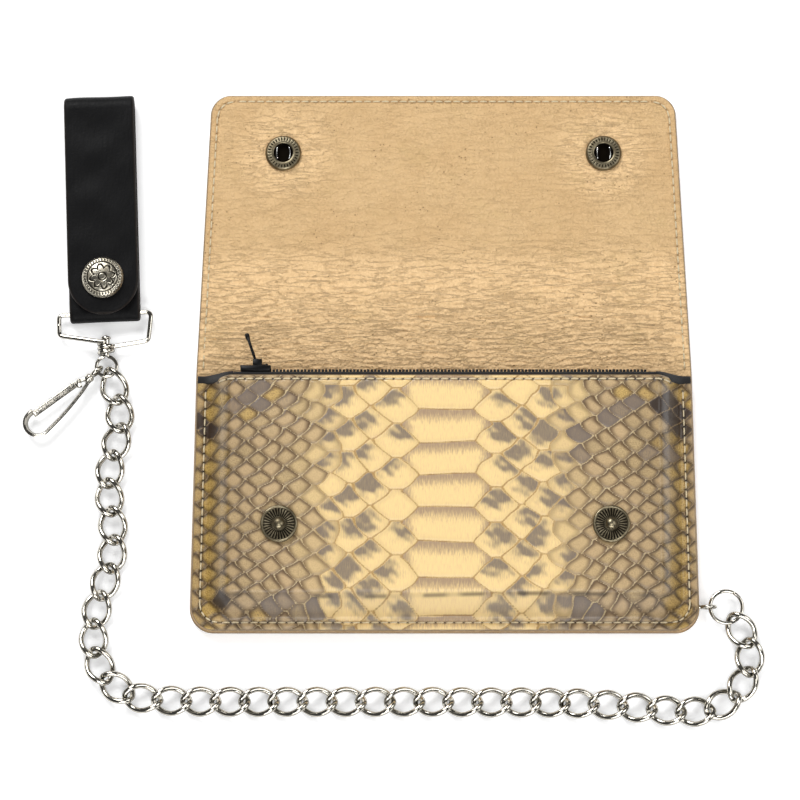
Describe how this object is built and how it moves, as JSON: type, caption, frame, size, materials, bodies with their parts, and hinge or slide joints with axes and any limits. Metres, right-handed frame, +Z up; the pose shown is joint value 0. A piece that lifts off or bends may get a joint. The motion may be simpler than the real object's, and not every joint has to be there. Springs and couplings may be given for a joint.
{
  "type": "chain wallet",
  "caption": "Long leather wallet lying open, with a snap flap, zipped coin pocket, note pocket, curb chain, spring clip and a belt strap with a snap.",
  "frame": {"origin": "centre of the wallet body's back face, on the surface that the open wallet lies on", "axes": "+X to the right along the wallet's long side, towards the side with the chain's ring; +Y from the body towards the open flap; +Z up, out of the front panel"},
  "size_m": [0.2747, 0.2399, 0.0226],
  "materials": {
    "printed_leather": "glossy scale-pattern leather",
    "lining_leather": "smooth vegetable-tanned leather with pores",
    "thread": "waxed thread",
    "snap_metal": "antique brass",
    "spring_wire": "bright wire",
    "zip_tape": "woven black tape",
    "zip_metal": "black oxide",
    "nickel": "polished nickel plate",
    "strap_leather": "smooth black leather",
    "strap_snap_metal": "antique silver"
  },
  "bodies": {
    "wallet": {"back_skin": "printed_leather", "back_lining": "lining_leather", "card_panel": "lining_leather", "card_leaf_upper": "lining_leather", "card_leaf_lower": "lining_leather", "coin_pocket_back": "lining_leather", "coin_pocket_lining": "lining_leather", "front_panel": "printed_leather", "front_stitching": "thread", "snap_studs": "snap_metal", "snap_stud_backs": "snap_metal", "zip_tape_upper": "zip_tape", "zip_tape_lower": "zip_tape", "zip_teeth_upper": "zip_metal", "zip_teeth_lower": "zip_metal", "zip_end_left": "zip_tape", "zip_end_right": "zip_tape", "ring_tab": "lining_leather", "side_eye": "nickel"},
    "spine_1": {"spine_fold_1": "lining_leather"},
    "spine_2": {"spine_fold_2": "lining_leather"},
    "spine_3": {"spine_fold_3": "lining_leather"},
    "flap": {"flap_skin": "printed_leather", "flap_lining": "lining_leather", "flap_stitching": "thread", "snap_sockets": "snap_metal", "snap_springs": "spring_wire", "snap_caps": "snap_metal"},
    "slider": {"zip_slider": "zip_metal"},
    "pull": {"zip_pull": "zip_metal"},
    "ring": {"jump_ring": "nickel"},
    "pair_01": {"chain_01": "nickel"},
    "pair_02": {"chain_02": "nickel"},
    "pair_03": {"chain_03": "nickel"},
    "pair_04": {"chain_04": "nickel"},
    "pair_05": {"chain_05": "nickel"},
    "pair_06": {"chain_06": "nickel"},
    "pair_07": {"chain_07": "nickel"},
    "pair_08": {"chain_08": "nickel"},
    "pair_09": {"chain_09": "nickel"},
    "pair_10": {"chain_10": "nickel"},
    "pair_11": {"chain_11": "nickel"},
    "pair_12": {"chain_12": "nickel"},
    "pair_13": {"chain_13": "nickel"},
    "pair_14": {"chain_14": "nickel"},
    "pair_15": {"chain_15": "nickel"},
    "pair_16": {"chain_16": "nickel"},
    "pair_17": {"chain_17": "nickel"},
    "pair_18": {"chain_18": "nickel"},
    "swivel": {"swivel_eye": "nickel"},
    "loop": {"wire_loop": "nickel"},
    "strap": {"strap_base": "strap_leather", "strap_snap_stud": "strap_snap_metal"},
    "tongue": {"strap_tongue": "strap_leather", "strap_snap_cap": "strap_snap_metal"},
    "hook": {"clip_hook": "nickel"},
    "gate": {"clip_gate": "nickel"}
  },
  "joints": [
    {"name": "fold_1", "type": "hinge", "parent": "wallet", "child": "spine_1", "pos_m": [0, 0.051, 0.0022], "axis": [1, 0, 0], "range_deg": [0, 45]},
    {"name": "fold_2", "type": "hinge", "parent": "spine_1", "child": "spine_2", "pos_m": [0, 0.0596, 0.0022], "axis": [1, 0, 0], "range_deg": [0, 45]},
    {"name": "fold_3", "type": "hinge", "parent": "spine_2", "child": "spine_3", "pos_m": [0, 0.0682, 0.0022], "axis": [1, 0, 0], "range_deg": [0, 45]},
    {"name": "fold_4", "type": "hinge", "parent": "spine_3", "child": "flap", "pos_m": [0, 0.0768, 0.0022], "axis": [1, 0, 0], "range_deg": [0, 45]},
    {"name": "zip_slide", "type": "slide", "parent": "wallet", "child": "slider", "axis": [1, 0, 0], "range_m": [0, 0.142]},
    {"name": "pull_swing", "type": "hinge", "parent": "slider", "child": "pull", "pos_m": [-0.07, 0.0534, 0.01362], "axis": [0, 0, 1], "range_deg": [0, 71]},
    {"name": "ring_swing", "type": "hinge", "parent": "wallet", "child": "ring", "pos_m": [0.0983, -0.037, 0.0033], "axis": [0, 0, 1], "range_deg": [0, 20]},
    {"name": "chain_bend_01", "type": "hinge", "parent": "ring", "child": "pair_01", "pos_m": [0.10668, -0.04128, 0.0033], "axis": [0, 0, 1], "range_deg": [0, 25]},
    {"name": "chain_bend_02", "type": "hinge", "parent": "pair_01", "child": "pair_02", "pos_m": [0.11224, -0.06089, 0.0033], "axis": [0, 0, -1], "range_deg": [-25, 0]},
    {"name": "chain_bend_03", "type": "hinge", "parent": "pair_02", "child": "pair_03", "pos_m": [0.09737, -0.07525, 0.0033], "axis": [0, 0, 1], "range_deg": [0, 25]},
    {"name": "chain_bend_04", "type": "hinge", "parent": "pair_03", "child": "pair_04", "pos_m": [0.07604, -0.0745, 0.0033], "axis": [0, 0, -1], "range_deg": [-25, 0]},
    {"name": "chain_bend_05", "type": "hinge", "parent": "pair_04", "child": "pair_05", "pos_m": [0.05472, -0.07264, 0.0033], "axis": [0, 0, 1], "range_deg": [0, 25]},
    {"name": "chain_bend_06", "type": "hinge", "parent": "pair_05", "child": "pair_06", "pos_m": [0.03333, -0.07208, 0.0033], "axis": [0, 0, -1], "range_deg": [-25, 0]},
    {"name": "chain_bend_07", "type": "hinge", "parent": "pair_06", "child": "pair_07", "pos_m": [0.01193, -0.07208, 0.0033], "axis": [0, 0, 1], "range_deg": [0, 25]},
    {"name": "chain_bend_08", "type": "hinge", "parent": "pair_07", "child": "pair_08", "pos_m": [-0.00947, -0.07189, 0.0033], "axis": [0, 0, -1], "range_deg": [-25, 0]},
    {"name": "chain_bend_09", "type": "hinge", "parent": "pair_08", "child": "pair_09", "pos_m": [-0.03087, -0.07189, 0.0033], "axis": [0, 0, 1], "range_deg": [0, 25]},
    {"name": "chain_bend_10", "type": "hinge", "parent": "pair_09", "child": "pair_10", "pos_m": [-0.05227, -0.07189, 0.0033], "axis": [0, 0, -1], "range_deg": [-25, 0]},
    {"name": "chain_bend_11", "type": "hinge", "parent": "pair_10", "child": "pair_11", "pos_m": [-0.07367, -0.07189, 0.0033], "axis": [0, 0, 1], "range_deg": [0, 25]},
    {"name": "chain_bend_12", "type": "hinge", "parent": "pair_11", "child": "pair_12", "pos_m": [-0.09507, -0.0717, 0.0033], "axis": [0, 0, -1], "range_deg": [-25, 0]},
    {"name": "chain_bend_13", "type": "hinge", "parent": "pair_12", "child": "pair_13", "pos_m": [-0.11636, -0.06984, 0.0033], "axis": [0, 0, 1], "range_deg": [0, 25]},
    {"name": "chain_bend_14", "type": "hinge", "parent": "pair_13", "child": "pair_14", "pos_m": [-0.12937, -0.05378, 0.0033], "axis": [0, 0, -1], "range_deg": [-25, 0]},
    {"name": "chain_bend_15", "type": "hinge", "parent": "pair_14", "child": "pair_15", "pos_m": [-0.12733, -0.03266, 0.0033], "axis": [0, 0, 1], "range_deg": [0, 25]},
    {"name": "chain_bend_16", "type": "hinge", "parent": "pair_15", "child": "pair_16", "pos_m": [-0.12255, -0.01192, 0.0033], "axis": [0, 0, -1], "range_deg": [-25, 0]},
    {"name": "chain_bend_17", "type": "hinge", "parent": "pair_16", "child": "pair_17", "pos_m": [-0.12534, 0.0093, 0.0033], "axis": [0, 0, 1], "range_deg": [0, 25]},
    {"name": "chain_bend_18", "type": "hinge", "parent": "pair_17", "child": "pair_18", "pos_m": [-0.12071, 0.03015, 0.0033], "axis": [0, 0, -1], "range_deg": [-12, 0]},
    {"name": "swivel_swing", "type": "hinge", "parent": "pair_18", "child": "swivel", "pos_m": [-0.12553, 0.05094, 0.0033], "axis": [0, 0, 1], "range_deg": [0, 20]},
    {"name": "swivel_spin", "type": "hinge", "parent": "swivel", "child": "loop", "pos_m": [-0.12671, 0.06038, 0.0034], "axis": [-0.0419, 0.9991, 0], "continuous": true},
    {"name": "strap_swing", "type": "hinge", "parent": "loop", "child": "strap", "pos_m": [-0.12726, 0.07357, 0.0034], "axis": [0.9991, 0.0419, 0], "range_deg": [0, 100]},
    {"name": "strap_open", "type": "hinge", "parent": "strap", "child": "tongue", "pos_m": [-0.13057, 0.1525, 0.0094], "axis": [-0.9991, -0.0419, 0], "range_deg": [0, 120]},
    {"name": "clip_swing", "type": "hinge", "parent": "swivel", "child": "hook", "pos_m": [-0.12835, 0.05296, 0.0034], "axis": [0, 0, 1], "range_deg": [-15, 0]},
    {"name": "gate_open", "type": "hinge", "parent": "hook", "child": "gate", "pos_m": [-0.13656, 0.04773, 0.0034], "axis": [0, 0, 1], "range_deg": [0, 12], "stiffness_Nm_per_rad": 0.002, "springref_deg": -2.86}
  ],
  "couplings": [
    {"joint": "fold_2", "follows": "fold_1", "ratio": 1},
    {"joint": "fold_3", "follows": "fold_1", "ratio": 1},
    {"joint": "fold_4", "follows": "fold_1", "ratio": 1},
    {"joint": "pull_swing", "follows": "fold_1", "ratio": 1.5776}
  ]
}
